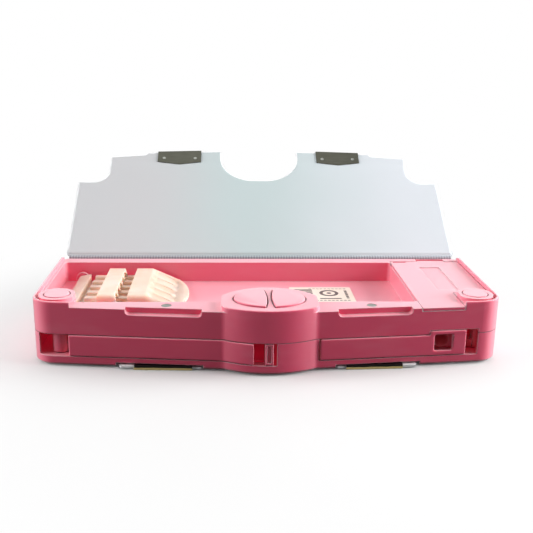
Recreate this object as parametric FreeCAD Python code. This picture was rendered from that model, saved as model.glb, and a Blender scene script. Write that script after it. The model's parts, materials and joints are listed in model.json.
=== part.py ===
import FreeCAD, Part
import math
import os

# Push-button pencil box with two hinged vinyl lids, swing-out drawers, a tilting pencil rack and a flap.
# Millimetres. X runs along the box, -Y is the front, +Z is up.
# The origin is the middle of the bottom lid's outer face, which the box stands on.

os.makedirs("parts", exist_ok=True)
Vec = FreeCAD.Vector
up = Vec(0, 0, 1)

# Plan of the body
tiny = 1e-6
length = 226.0
half = length / 2
back_y = 45.2
step_x = half - 19.0
step_y = -40.0
wedge_angle = 5.6
nose_y = -53.0
nose_radius = 44.0
nose_fillet = 5.0
front_corner = 11.0
back_corner = 6.0
wall = 2.0

# Levels
rim_z = 0.8
sill_z = 5.2
split_z = 16.2
ledge_z = 29.7
top_z = 32.2
tray_z = 18.5
floor_t = 1.5
deck_z = 15.2
bay_roof_z = 17.0

# Clearances
run_gap = 0.3
pin_gap = 0.05
seat_gap = 0.1

# Tray and flap compartment
tray_left = 2.5 - half
tray_right = half - 40.5
tray_front = -32.0
tray_back = 36.5
partition = 1.8
locker_right = half - 2.4
locker_z = 21.0
lip = 1.0
lip_slope = 7.0
pad_back = -14.6
ledge_t = 2.4
bevel = 0.6
rim_round = 0.8
foot_bevel = 1.0

# Console, its two shaped buttons, and the carrier plate under them
console_back = -17.4
console_half = 23.0
console_back_radius = 27.0
console_side_fillet = 6.0
console_roof = 1.5
button_half_x = 17.4
button_half_y = 13.4
button_mid_y = -34.8
button_inner = 0.9
button_inner_radius = 70.0
button_proud = 0.8
button_flange = 1.0
button_flange_t = 1.2
stem_x = 11.5
stem_y = -33.0
stem_r = 2.2
carrier_t = 1.2
carrier_y0 = -47.0
carrier_y1 = -22.5
foot_z = 12.4
arm_bottom = 14.0
arm_t = 1.6
foot_x = 28.0
foot_r = 1.3

# Round corner buttons
boss_x = half - 11.0
boss_y = -27.1
boss_r = 8.75
cap_r = 6.2
cap_proud = 0.3
cap_flange_r = 7.2
cap_flange_t = 1.4
well_r = 7.6
well_roof = 3.0
well_floor_z = 16.4
well_cap_t = 4.0
pin_top_z = 18.3

# Button springs
spring_w = 3.0
spring_t = 0.5
drawer_spring_x = 7.0

# Front finger recesses and magnets
recess_in = 32.0
recess_out = 68.0
recess_z = 26.8
recess_depth = 3.4
recess_r = 2.0
magnet_x = 49.0
magnet_y = -37.1
magnet_r = 2.5
magnet_t = 1.6

# Drawers
bay_back = -12.0
bay_wall = 1.5
drawer_back = -14.0
drawer_wall = 1.6
drawer_floor = 1.4
drawer_wall_z = 10.0
kick_gap = 1.4
kick_top = 15.0
arm_half = 2.0
left_drawer_x0 = 17.8 - half
left_drawer_x1 = -7.8
right_drawer_x0 = 23.6
right_drawer_x1 = half - 17.6
raised_x0 = half - 35.8
raised_z = 18.0
left_pivot = (13.0 - half, -32.0)
right_pivot = (half - 9.5, -29.5)
left_barrel_r = 4.2
right_barrel_r = 3.4
pivot_pin_r = 1.5
pin_seat = 2.0
corner_window_x = 3.6 - half
right_window_x = half - 11.5
slot_right = 3.0
rib_x = 19.0
rib_t = 1.6
rib_z = 11.0
sight_x0 = half - 33.4
sight_x1 = half - 24.4
sight_z0 = 7.9
sight_z1 = 16.0

# Sharpener inside the right drawer
sharpener_side = 1.4
sharpener_set = 3.0
sharpener_y1 = -17.0
sharpener_top_front = 15.2
sharpener_top_back = 12.0
cone_mouth_r = 4.0
cone_end_r = 0.8
cone_z = 11.8
blade_t = 0.6
blade_inset = 1.2
blade_screw_r = 0.9
blade_screw_depth = 4.0
blade_head_t = 0.8

# Front slider
slider_x0 = -2.6
slider_x1 = 1.4
slider_back = -43.0
slider_travel = 4.4
slider_rim = 1.0
slider_key_t = 1.4
slider_key_y = -47.0
slider_key_depth = 1.0

# Pencil rack
rack_front = -15.0
rack_back = 33.0
rack_pitch = 9.1
rack_slots = 5
rack_base_z = 18.8
rack_base_t = 0.7
bridge_z = 27.3
bridge_round = 2.4
ramp_z = 21.0
rack_edge = 0.45
arch_r = 3.5
arch_depth = 1.2
scoop_r = 5.0
scoop_depth = 1.6
scoop_start = 4.8
scoop_run = 7.6
rail_w = 4.0
rail_z = 23.4
rail_x0 = 20.0 - half
first_bridge = (26.5 - half, 27.7 - half, 36.4 - half, 38.6 - half)
second_bridge = (42.2 - half, 42.8 - half, 51.5 - half, 65.5 - half)
rack_nose_x = 72.5 - half
rack_nose_r = 48.0
rack_toe = 1.2
rack_pivot_x = 12.5 - half
rack_pivot_z = 21.0
rack_barrel_r = 2.0
rack_bar_x1 = 17.4 - half
rack_bar_top = 23.8
rack_ridge = 1.0
ear_t = 1.6
ear_r = 3.6
thin_pin_r = 1.0

# Flap over the right-hand compartment
flap_t = 1.5
flap_back = 38.0
flap_swing = 1.0
flap_pin_y = 40.3
flap_pin_z = 27.8
flap_barrel_r = 1.8
knuckle_x0 = half - 24.5
knuckle_x1 = half - 9.0
knuckle_pocket_back = 43.5
flap_pin_x0 = half - 28.5
flap_pin_x1 = half - 5.0
panel_x0 = half - 26.0
panel_x1 = half - 15.0
panel_y0 = -13.5
panel_y1 = 27.0
panel_depth = 0.4
nail_slot_x0 = half - 38.8
nail_slot_x1 = half - 31.4
nail_slot_depth = 1.6

# Lids: u runs along the box, v from the hinge towards the front edge
hinge_y = 45.5
lid_t = 2.2
hinge_above_face = 0.4
top_lid_half = half - 1.4
bottom_lid_half = half - 2.4
lid_start = 1.6
bottom_back_r = 6.0
lid_corner_r = 1.5
notch_v = 60.3
notch_u = half - 19.3
notch_r = 9.0
edge_v = 82.6
edge_in_u = 72.5
edge_in_v = 84.6
tab_u = 70.5
tab_v = 86.4
tab_tip_v = 88.2
middle_u = 24.0
middle_v = 62.3
middle_r = 20.0
lid_open_angle = 145.0
bead_r = 0.5
bead_half = half - 3.0
web_t = 0.8
skin_t = 0.5
weld_margin = 3.0
board_gap = 1.8
clip_u0 = 36.8
clip_u1 = 64.2
clip_depth = 9.2
bottom_tab_out = 3.0
tab_in_u = 32.5
clip_point = 2.2
clip_nose = 0.5
clip_t = 0.45

# Bottom lid seat
lid_seat_z = lid_t + seat_gap
lid_slot_z = 2.7
seat_ledge = 3.0
lid_side_gap = 0.5
rim_notch_in = 31.5
rim_notch_out = 73.0

# Spine, label and the pegs that join the two halves
spine_half = half - back_corner
spine_t = 0.8
label_size = (34.0, 26.0)
label_at = (31.0, 12.0)
label_t = 0.2
peg_x = (-80.0, -28.0, 28.0, 80.0)
peg_y = 40.8
peg_w = 3.0

wedge = math.radians(wedge_angle)


def box(x0, x1, y0, y1, z0, z1):
    return Part.makeBox(x1 - x0, y1 - y0, z1 - z0, Vec(x0, y0, z0))


def rod(x, y, z0, z1, r):
    return Part.makeCylinder(r, z1 - z0, Vec(x, y, z0), up)


def rod_along(axis, start, size, r):
    return Part.makeCylinder(r, size, Vec(*start), Vec(*axis))


def raised(face, z0, z1):
    solid = face.extrude(up * (z1 - z0))
    solid.translate(up * z0)
    return solid


def rounded_face(corners):
    # Closed outline through (x, y, radius) corners.
    points = [Vec(x, y, 0) for x, y, _ in corners]
    edges = []
    joints = []
    for i, (x, y, r) in enumerate(corners):
        before = (points[i - 1] - points[i]).normalize()
        after = (points[(i + 1) % len(points)] - points[i]).normalize()
        half_turn = before.getAngle(after) / 2
        run = r / math.tan(half_turn)
        middle = (before + after).normalize()
        crown = points[i] + middle * (r / math.sin(half_turn) - r)
        joints.append((points[i] + before * run, crown, points[i] + after * run, r))
    for i, (start, crown, end, r) in enumerate(joints):
        if r > 0:
            edges.append(Part.Arc(start, crown, end).toShape())
        following = joints[(i + 1) % len(joints)][0]
        if (following - end).Length > tiny:
            edges.append(Part.LineSegment(end, following).toShape())
    return Part.Face(Part.Wire(edges))


def front_y(x):
    # Front wall beside the nose: two straight halves that meet in a shallow wedge.
    return step_y - (step_x - abs(x)) * math.tan(wedge)


def nose_joint(inset):
    # Points where the nose arc, the fillet and the straight front wall meet, on the right-hand side.
    nose = Vec(0, nose_y + nose_radius, 0)
    along = Vec(math.cos(wedge), math.sin(wedge), 0)
    outward = Vec(math.sin(wedge), -math.cos(wedge), 0)
    fillet = nose_fillet + inset
    base = outward * (outward.dot(Vec(step_x, step_y, 0)) - inset + fillet) - nose
    reach = nose_radius + nose_fillet
    slope = base.dot(along)
    centre = nose + base + along * (math.sqrt(slope ** 2 - base.dot(base) + reach ** 2) - slope)
    on_nose = nose + (centre - nose).normalize() * (nose_radius - inset)
    on_wall = centre - outward * fillet
    turn = (on_nose - centre).normalize() + (on_wall - centre).normalize()
    return on_nose, centre + turn.normalize() * fillet, on_wall


def body_face(inset):
    # Plan outline of the box, moved inwards by an inset.
    on_nose, crown, on_wall = nose_joint(inset)
    side = half - inset
    back = back_y - inset
    shift = inset / math.cos(wedge)
    corner = Vec(side, front_y(side) + shift, 0)
    r = front_corner - inset
    run = r * math.tan((math.pi / 2 - wedge) / 2)
    along = Vec(math.cos(wedge), math.sin(wedge), 0)
    enter = corner - along * run
    leave = corner + Vec(0, run, 0)
    centre = leave - Vec(r, 0, 0)
    corner_mid = centre + (corner - centre).normalize() * r
    back_r = max(back_corner - inset, 0.5)
    turn_mid = back_r * (1 - math.sqrt(0.5))
    right = [
        Part.Arc(on_nose, crown, on_wall).toShape(),
        Part.LineSegment(on_wall, enter).toShape(),
        Part.Arc(enter, corner_mid, leave).toShape(),
        Part.LineSegment(leave, Vec(side, back - back_r, 0)).toShape(),
        Part.Arc(
            Vec(side, back - back_r, 0),
            Vec(side - turn_mid, back - turn_mid, 0),
            Vec(side - back_r, back, 0),
        ).toShape(),
    ]
    left = [edge.mirror(Vec(0, 0, 0), Vec(1, 0, 0)) for edge in right]
    nose_front = Vec(0, nose_y + inset, 0)
    on_left = Vec(-on_nose.x, on_nose.y, 0)
    closing = [
        Part.Arc(on_left, nose_front, on_nose).toShape(),
        Part.LineSegment(Vec(back_r - side, back, 0), Vec(side - back_r, back, 0)).toShape(),
    ]
    return Part.Face(Part.Wire(Part.__sortEdges__(right + left + closing)))


def body(inset, z0, z1):
    return raised(body_face(inset), z0, z1)


def console(inset, z0, z1):
    # Oval console: the nose arc in front, a rounder arc behind and blunt ends.
    front = rod(0, nose_y + nose_radius, z0, z1, nose_radius - inset)
    rear = rod(0, console_back - console_back_radius, z0, z1, console_back_radius - inset)
    ends = box(inset - console_half, console_half - inset, nose_y, console_back, z0, z1)
    oval = front.common(rear).common(ends)
    upright = [e for e in oval.Edges if abs(e.tangentAt(e.FirstParameter).z) > 0.9]
    return oval.makeFillet(console_side_fillet, upright)


def level_edges(solid, level):
    # Edges that lie flat at one height.
    flat = [e for e in solid.Edges if e.BoundBox.ZLength < tiny]
    return [e for e in flat if abs(e.BoundBox.ZMin - level) < tiny]


def shaped_button(side, grow, z0, z1):
    # One half of the split oval: an ellipse cut back by a shallow arc along the middle.
    oval = Part.Ellipse(Vec(0, button_mid_y, 0), button_half_x + grow, button_half_y + grow)
    solid = raised(Part.Face(Part.Wire(oval.toShape())), z0, z1)
    middle = side * (button_inner + button_inner_radius)
    return solid.common(rod(middle, button_mid_y, z0, z1, button_inner_radius + grow))


def bow_spring(x, y, z0, z1):
    # Steel strip bent to a half ring: its ends stand on a seat and its crown carries a button.
    r = z1 - z0 - pin_gap
    start = (x - spring_w / 2, y, z0)
    ring = rod_along((1, 0, 0), start, spring_w, r).cut(rod_along((1, 0, 0), start, spring_w, r - spring_t))
    return ring.cut(box(x - spring_w, x + spring_w, y - 2 * r, y + 2 * r, z0 - 2 * r, z0))


def tray_hollow():
    # Long tray: its front edge runs behind the ledge and round the left corner boss.
    main = box(tray_left, tray_right, tray_front, tray_back, tray_z, top_z)
    corner = box(tray_left, -step_x + lip, tray_front, boss_y, tray_z, top_z)
    hollow = main.cut(corner).cut(rod(-boss_x, boss_y, tray_z, top_z, boss_r))
    upright = [e for e in hollow.Edges if e.BoundBox.ZLength > top_z - tray_z - tiny]
    upright = [e for e in upright if e.BoundBox.DiagonalLength < top_z - tray_z + tiny]
    right = [e for e in upright if e.BoundBox.XMin > tray_right - tiny]
    left_back = [e for e in upright if e.BoundBox.YMin > tray_back - tiny and e.BoundBox.XMin < 0]
    square = right + left_back
    return hollow.makeFillet(wall, square).cut(console(0, tray_z, top_z))


def locker_hollow():
    # Compartment under the flap, with the right corner boss standing in it.
    hollow = box(tray_right + partition, locker_right, tray_front, tray_back, locker_z, top_z)
    return hollow.cut(box(step_x - lip, locker_right, tray_front, boss_y + boss_r, locker_z, top_z))


def flap_plan(gap, back, z0, z1):
    # Plan of the flap, flush with the front wall and cut round the right corner boss.
    plate = box(tray_right + gap, half - lip - gap, -half, back, z0, z1).common(body(0, z0, z1))
    return plate.cut(box(step_x - gap, half, -half, boss_y + boss_r + gap, z0, z1))


def lid_seat():
    # Space the closed top lid drops into, open along the front between the corner rims.
    rear = box(lip - half, half - lip, pad_back, back_y + wall, ledge_z, top_z)
    front = box(-step_x, step_x, -half, pad_back, ledge_z, top_z)
    corner = body(lip, ledge_z, top_z).common(box(-half, half, -half, pad_back, ledge_z, top_z))
    for side in (-1, 1):
        corner = corner.cut(rod(side * boss_x, boss_y, ledge_z, top_z, boss_r))
    return rear.fuse(front).fuse(corner).cut(console(0, ledge_z, top_z))


def finger_recess(side):
    x0, x1 = sorted((side * recess_in, side * recess_out))
    strip = box(x0, x1, -half, tray_front, recess_z, top_z)
    floor_ends = [e for e in strip.Edges if e.BoundBox.YLength > recess_r and e.BoundBox.ZMax < top_z]
    strip = strip.makeFillet(recess_r, floor_ends)
    return strip.cut(body(recess_depth, recess_z, top_z))


def peg(x, gap, z0, z1):
    reach = peg_w / 2 + gap
    return box(x - reach, x + reach, peg_y - reach, peg_y + reach, z0, z1)


rack_ear_back = rack_back + run_gap
rack_ear_front = rack_front - run_gap - ear_t
knuckle_pocket_z = flap_pin_z - flap_barrel_r - run_gap


def rack_ear(y):
    # Rounded lug that carries one end of the rack pin.
    lug = rod_along((0, 1, 0), (rack_pivot_x, y, rack_pivot_z), ear_t, ear_r)
    foot = box(rack_pivot_x - ear_r, rack_pivot_x + ear_r, y, y + ear_t, tray_z, rack_pivot_z)
    hole = rod_along((0, 1, 0), (rack_pivot_x, y, rack_pivot_z), ear_t, thin_pin_r)
    return lug.fuse(foot).cut(hole)


def magnet(side, z0, z1):
    return rod(side * magnet_x, magnet_y, z0, z1, magnet_r)


def magnets(z0):
    return Part.Compound([magnet(side, z0, z0 + magnet_t) for side in (-1, 1)])


def case_underside():
    # Hollow between the outer wall, the tray walls and the console, open at the parting line.
    under = body(wall, split_z, ledge_z - ledge_t)
    tray_x0 = tray_left - wall
    tray_x1 = tray_right + partition
    under = under.cut(box(tray_x0, tray_x1, tray_front - wall, tray_back + wall, bay_roof_z, top_z))
    locker_x1 = locker_right + wall
    locker_floor = locker_z - floor_t
    under = under.cut(box(tray_right, locker_x1, tray_front - wall, tray_back + wall, locker_floor, top_z))
    under = under.cut(box(flap_pin_x0 - wall, half, tray_back, back_y, knuckle_pocket_z - floor_t, top_z))
    for side in (-1, 1):
        x0, x1 = sorted((side * (recess_in - floor_t), side * (recess_out + floor_t)))
        shelf = box(x0, x1, -half, tray_front, recess_z - floor_t, top_z)
        under = under.cut(shelf.cut(body(recess_depth + floor_t, split_z, top_z)))
        under = under.cut(rod(side * boss_x, boss_y, bay_roof_z, top_z, boss_r))
        under = under.fuse(rod(side * boss_x, boss_y, split_z, top_z - well_roof, well_r))
    return under.fuse(console(wall, split_z, top_z - console_roof))


def lip_ends():
    # Wedge that lowers the side lips towards the back wall.
    points = [(back_y - lip_slope, top_z), (back_y, ledge_z), (back_y, top_z)]
    return side_profile(points, -half, half)


def upper_case():
    shell = body(0, split_z, top_z)
    shell = shell.makeFillet(rim_round, level_edges(shell, top_z)).cut(case_underside())
    for x in peg_x:
        shell = shell.fuse(peg(x, 0, deck_z - floor_t, ledge_z - ledge_t))
    shell = shell.cut(tray_hollow()).cut(locker_hollow()).cut(lid_seat())
    shell = shell.cut(flap_plan(0, flap_back + flap_swing, ledge_z - flap_t - seat_gap, top_z))
    for side in (-1, 1):
        shell = shell.cut(rod(side * boss_x, boss_y, split_z, top_z, cap_r + run_gap))
        shell = shell.cut(shaped_button(side, run_gap, split_z, top_z))
        shell = shell.cut(finger_recess(side))
        shell = shell.cut(magnet(side, ledge_z - seat_gap - magnet_t, ledge_z))
    shell = shell.cut(box(-half, half, back_y - 2 * bevel, back_y, ledge_z - bevel, top_z)).cut(lip_ends())
    x0 = knuckle_x0 - run_gap
    x1 = knuckle_x1 + run_gap
    shell = shell.cut(box(x0, x1, flap_back - run_gap, knuckle_pocket_back, knuckle_pocket_z, top_z))
    shell = shell.cut(flap_pin())
    shell = shell.cut(box(raised_x0, right_window_x, -half, tray_front - wall, split_z, raised_z + run_gap))
    for y in (rack_ear_front, rack_ear_back):
        shell = shell.fuse(rack_ear(y))
    return shell


def corner_pad(side):
    # Corner of the lower case that fills a corner notch of the bottom lid.
    u = notch_u + lid_side_gap
    v = hinge_y - notch_v - lid_side_gap
    far = length
    r = notch_r + lid_side_gap
    face = rounded_face([(u, v, r), (u, -far, 0), (far, -far, 0), (far, v, 0)])
    pad = raised(face, rim_z, sill_z)
    return pad if side > 0 else pad.mirror(Vec(0, 0, 0), Vec(1, 0, 0))


def pin_seat_hole(pivot):
    return rod(*pivot, sill_z - pin_seat, sill_z, pivot_pin_r)


def slider_groove():
    y0 = slider_key_y - slider_key_t / 2 - run_gap
    y1 = slider_key_y + slider_key_t / 2 + run_gap
    x0 = slider_x0 - slider_travel - run_gap
    return box(x0, slider_x1 + run_gap, y0, y1, sill_z - slider_key_depth, sill_z)


def lower_case():
    outer = body(0, rim_z, split_z)
    outer = outer.makeChamfer(foot_bevel, level_edges(outer, rim_z))
    shell = outer.cut(body(wall, rim_z, split_z))
    sill_back = bay_back + bay_wall
    fill = box(-half, half, -half, sill_back, lid_seat_z, sill_z)
    fill = fill.fuse(box(-half, half, bay_back, sill_back, lid_seat_z, deck_z))
    fill = fill.fuse(box(-half, half, bay_back, back_y, deck_z - floor_t, deck_z))
    fill = fill.fuse(body(0, lid_seat_z, sill_z).cut(body(wall + seat_ledge, lid_seat_z, sill_z)))
    fill = fill.fuse(console(0, rim_z, sill_z)).fuse(corner_pad(-1)).fuse(corner_pad(1))
    fill = fill.fuse(box(slot_right, slot_right + rib_t, -half, bay_back, sill_z, split_z))
    fill = fill.fuse(box(rib_x, rib_x + rib_t, -half, bay_back, sill_z, rib_z))
    shell = shell.fuse(outer.common(fill))
    mouth = tray_front + wall
    shell = shell.cut(box(corner_window_x, slot_right, -half, mouth, sill_z, split_z))
    shell = shell.cut(box(right_drawer_x0 - run_gap, right_window_x, -half, mouth, sill_z, split_z))
    for side in (-1, 1):
        x0, x1 = sorted((side * rim_notch_in, side * rim_notch_out))
        gap = box(x0, x1, -half, tray_front, rim_z, lid_slot_z)
        shell = shell.cut(gap.cut(body(wall, rim_z, lid_slot_z)))
        shell = shell.cut(magnet(side, lid_seat_z, lid_seat_z + seat_gap + magnet_t))
    shell = shell.cut(box(-half, half, back_y - wall - lid_side_gap, back_y, rim_z, lid_slot_z))
    shell = shell.cut(slider_groove())
    for x in peg_x:
        shell = shell.cut(peg(x, seat_gap, deck_z - floor_t, deck_z))
    for pivot in (left_pivot, right_pivot):
        shell = shell.cut(pin_seat_hole(pivot))
    return shell


def drawer(x0, x1, pivot, barrel_r, kick_x0, kick_x1):
    # Open tray behind its own stretch of the front wall, with a pivot barrel beyond one end.
    # A kick rib stands in front of the button foot.
    z0 = sill_z + run_gap
    z1 = split_z - run_gap
    outer = body(0, z0, z1).common(box(x0, x1, -half, drawer_back, z0, z1))
    room = box(x0 + drawer_wall, x1 - drawer_wall, -half, drawer_back - drawer_wall, z0 + drawer_floor, z1)
    tray = outer.cut(room.common(body(drawer_wall, z0, z1))).cut(body(drawer_wall, drawer_wall_z, z1))
    rib_y = stem_y - stem_r - kick_gap
    tray = tray.fuse(box(kick_x0, kick_x1, rib_y - drawer_wall, rib_y, z0, kick_top))
    inner_end = x0 + drawer_wall if pivot[0] < x0 else x1 - drawer_wall
    arm_x0, arm_x1 = sorted((pivot[0], inner_end))
    tray = tray.fuse(box(arm_x0, arm_x1, pivot[1] - arm_half, pivot[1] + arm_half, z0, drawer_wall_z))
    tray = tray.fuse(rod(*pivot, z0, z1, barrel_r))
    return tray.cut(rod(*pivot, z0, z1, pivot_pin_r + pin_gap))


def left_drawer():
    inner = left_drawer_x1 - drawer_wall
    return drawer(left_drawer_x0, left_drawer_x1, left_pivot, left_barrel_r, -stem_x - stem_r, inner)


def right_drawer():
    inner = right_drawer_x0 + drawer_wall
    tray = drawer(right_drawer_x0, right_drawer_x1, right_pivot, right_barrel_r, inner, foot_x + foot_r)
    z1 = split_z - run_gap
    brow = box(raised_x0 + run_gap, right_drawer_x1, -half, tray_front, z1 - run_gap, raised_z)
    brow = brow.common(body(0, z1 - run_gap, raised_z)).cut(body(drawer_wall, z1 - run_gap, raised_z))
    return tray.fuse(brow).cut(box(sight_x0, sight_x1, -half, tray_front, sight_z0, sight_z1))


def pivot_pin(pivot):
    return rod(*pivot, sill_z - pin_seat, pin_top_z, pivot_pin_r)


def well_caps():
    # Discs that close the button wells from below and hold the upper ends of the drawer pins.
    discs = []
    for x, pivot in ((-boss_x, left_pivot), (boss_x, right_pivot)):
        disc = rod(x, boss_y, well_floor_z, well_floor_z + well_cap_t, well_r)
        discs.append(disc.cut(pivot_pin(pivot)))
    return Part.Compound(discs)


def side_profile(points, x0, x1):
    # Outline in Y and Z, drawn out along X.
    corners = [Vec(x0, y, z) for y, z in points]
    face = Part.Face(Part.makePolygon(corners + corners[:1]))
    return face.extrude(Vec(x1 - x0, 0, 0))


def long_profile(points, y0, y1):
    # Outline in X and Z, drawn out along Y.
    corners = [Vec(x, y0, z) for x, z in points]
    face = Part.Face(Part.makePolygon(corners + corners[:1]))
    return face.extrude(Vec(0, y1 - y0, 0))


sharpener_x0 = sight_x0 - sharpener_side
sharpener_x1 = sight_x1 + sharpener_side
sharpener_y0 = front_y(sharpener_x1) + drawer_wall + sharpener_set
sharpener_z0 = sill_z + run_gap + drawer_floor
sharpener_x = (sight_x0 + sight_x1) / 2


def sharpener_top(y):
    share = (y - sharpener_y0) / (sharpener_y1 - sharpener_y0)
    return sharpener_top_front + (sharpener_top_back - sharpener_top_front) * share


def blade_screw():
    # Pan-head screw, square to the sloping blade.
    x = sharpener_x1 - blade_inset - blade_screw_r
    y = (sharpener_y0 + sharpener_y1) / 2
    screw = rod(0, 0, -blade_screw_depth, blade_t + blade_head_t, blade_screw_r)
    screw = screw.fuse(rod(0, 0, blade_t, blade_t + blade_head_t, 2 * blade_screw_r))
    slope = math.atan2(sharpener_top_back - sharpener_top_front, sharpener_y1 - sharpener_y0)
    screw.rotate(Vec(0, 0, 0), Vec(1, 0, 0), math.degrees(slope))
    screw.translate(Vec(x, y, sharpener_top(y)))
    return screw


def sharpener_body():
    # Wedge with a conical pencil hole that breaks through the sloping top.
    points = [
        (sharpener_y0, sharpener_z0),
        (sharpener_y1, sharpener_z0),
        (sharpener_y1, sharpener_top_back),
        (sharpener_y0, sharpener_top_front),
    ]
    block = side_profile(points, sharpener_x0, sharpener_x1)
    depth = sharpener_y1 - sharpener_y0 - sharpener_side
    mouth = Vec(sharpener_x, sharpener_y0, cone_z)
    cone = Part.makeCone(cone_mouth_r, cone_end_r, depth, mouth, Vec(0, 1, 0))
    return block.cut(cone).cut(blade_screw())


def sharpener_blade():
    y0 = sharpener_y0 + blade_inset
    y1 = sharpener_y1 - blade_inset
    points = [
        (y0, sharpener_top(y0)),
        (y1, sharpener_top(y1)),
        (y1, sharpener_top(y1) + blade_t),
        (y0, sharpener_top(y0) + blade_t),
    ]
    return side_profile(points, sharpener_x, sharpener_x1 - run_gap).cut(blade_screw())


def front_slider():
    # Upright thumb bar with a dished face, guided by a key in the sill.
    z0 = sill_z + run_gap
    z1 = split_z - run_gap
    bar = body(0, z0, z1).common(box(slider_x0, slider_x1, -half, slider_back, z0, z1))
    x0 = slider_x0 + slider_rim
    x1 = slider_x1 - slider_rim
    dish = box(x0, x1, -half, slider_back, z0 + slider_rim, z1 - slider_rim)
    bar = bar.cut(dish.cut(body(slider_rim, z0, z1)))
    y0 = slider_key_y - slider_key_t / 2
    key_z = sill_z - slider_key_depth + run_gap
    return bar.fuse(box(slider_x0, slider_x1, y0, y0 + slider_key_t, key_z, z0))


def rack_slot_y(i):
    return rack_front + rack_pitch * (i + 0.5) + rack_edge


def front_edges(solid):
    # Edges of a bridge where its front face meets its top and its ramp.
    front = [e for e in solid.Edges if e.BoundBox.YMax < rack_front + tiny]
    return [e for e in front if e.BoundBox.ZMin > ramp_z - tiny and e.BoundBox.XLength > bridge_round]


def blind_arch(y):
    # Arched hollow in the side of the first bridge that faces the second.
    base_top = rack_base_z + rack_base_t
    x0 = first_bridge[2] - arch_depth
    x1 = second_bridge[0]
    arch = rod_along((1, 0, 0), (x0, y, base_top + arch_r), x1 - x0, arch_r)
    return arch.fuse(box(x0, x1, y - arch_r, y + arch_r, base_top, base_top + arch_r))


def pencil_scoop(y):
    # Shallow round-ended trough down the ramp.
    top = Vec(second_bridge[2], y, bridge_z)
    down = Vec(second_bridge[3], y, ramp_z) - top
    down.normalize()
    out = Vec(-down.z, 0, down.x)
    start = top + down * scoop_start + out * (scoop_r - scoop_depth)
    trough = Part.makeCylinder(scoop_r, scoop_run, start, down)
    trough = trough.fuse(Part.makeSphere(scoop_r, start))
    return trough.fuse(Part.makeSphere(scoop_r, start + down * scoop_run))


def end_bar():
    # Low bar that turns on the rack pin and rises to a ridge beside the rails.
    width = rack_back - rack_front
    ridge_x = rack_bar_x1 - rack_ridge
    points = [(rack_pivot_x, rack_base_z), (rack_bar_x1, rack_base_z), (rack_bar_x1, rack_bar_top),
              (ridge_x, rack_bar_top), (rack_pivot_x, rack_pivot_z + rack_barrel_r)]
    bar = long_profile(points, rack_front, rack_back)
    start = (rack_pivot_x, rack_front, rack_pivot_z)
    bar = bar.fuse(rod_along((0, 1, 0), start, width, rack_barrel_r))
    return bar.cut(rod_along((0, 1, 0), start, width, thin_pin_r + pin_gap))


def pencil_rack():
    # Two bridges, a ramp with five pencil scoops and a round nose, rails and an end bar.
    base_top = rack_base_z + rack_base_t
    x0, x1, x2, x3 = first_bridge
    a0, a1, a2, a3 = second_bridge
    toe = base_top + rack_toe
    first = [(x0, rack_base_z), (x1, bridge_z), (x2, bridge_z), (x3, rack_base_z)]
    second = [(a0, rack_base_z), (a1, bridge_z), (a2, bridge_z), (a3, ramp_z),
              (rack_nose_x, toe), (rack_nose_x, rack_base_z)]
    first = long_profile(first, rack_front, rack_back)
    second = long_profile(second, rack_front, rack_back)
    rack = first.makeFillet(bridge_round, front_edges(first)).fuse(
        second.makeFillet(bridge_round, front_edges(second)))
    for i in range(rack_slots):
        rack = rack.cut(blind_arch(rack_slot_y(i))).cut(pencil_scoop(rack_slot_y(i)))
    for i in range(rack_slots):
        y = rack_slot_y(i) + rack_pitch / 2
        rack = rack.fuse(box(rail_x0, a1, y - rail_w / 2, y + rail_w / 2, rack_base_z, rail_z))
    rack = rack.fuse(box(rack_bar_x1, rack_nose_x, rack_front, rack_back, rack_base_z, base_top))
    middle = (rack_front + rack_back) / 2
    plan = rod(rack_nose_x - rack_nose_r, middle, rack_base_z, bridge_z, rack_nose_r)
    plan = plan.fuse(box(-half, first_bridge[0], rack_front, rack_back, rack_base_z, bridge_z))
    return rack.common(plan).fuse(end_bar())


def rack_pin():
    size = rack_ear_back + ear_t - rack_ear_front
    return rod_along((0, 1, 0), (rack_pivot_x, rack_ear_front, rack_pivot_z), size, thin_pin_r)


def flap():
    # Flip-up cover with a sunk panel, a nail slot and one long hinge knuckle.
    plate = flap_plan(run_gap, flap_back, ledge_z - flap_t, ledge_z)
    plate = plate.cut(box(panel_x0, panel_x1, panel_y0, panel_y1, ledge_z - panel_depth, ledge_z))
    plate = plate.cut(box(nail_slot_x0, nail_slot_x1, flap_back - nail_slot_depth, flap_back, 0, ledge_z))
    tongue = box(knuckle_x0, knuckle_x1, flap_back, flap_pin_y, ledge_z - flap_t, ledge_z - seat_gap)
    plate = plate.fuse(tongue)
    start = (knuckle_x0, flap_pin_y, flap_pin_z)
    plate = plate.fuse(rod_along((1, 0, 0), start, knuckle_x1 - knuckle_x0, flap_barrel_r))
    return plate.cut(rod_along((1, 0, 0), start, knuckle_x1 - knuckle_x0, thin_pin_r + pin_gap))


def flap_pin():
    start = (flap_pin_x0, flap_pin_y, flap_pin_z)
    return rod_along((1, 0, 0), start, flap_pin_x1 - flap_pin_x0, thin_pin_r)


flange_top = top_z - console_roof - run_gap
flange_bottom = flange_top - button_flange_t
carrier_z = split_z + seat_gap


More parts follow.
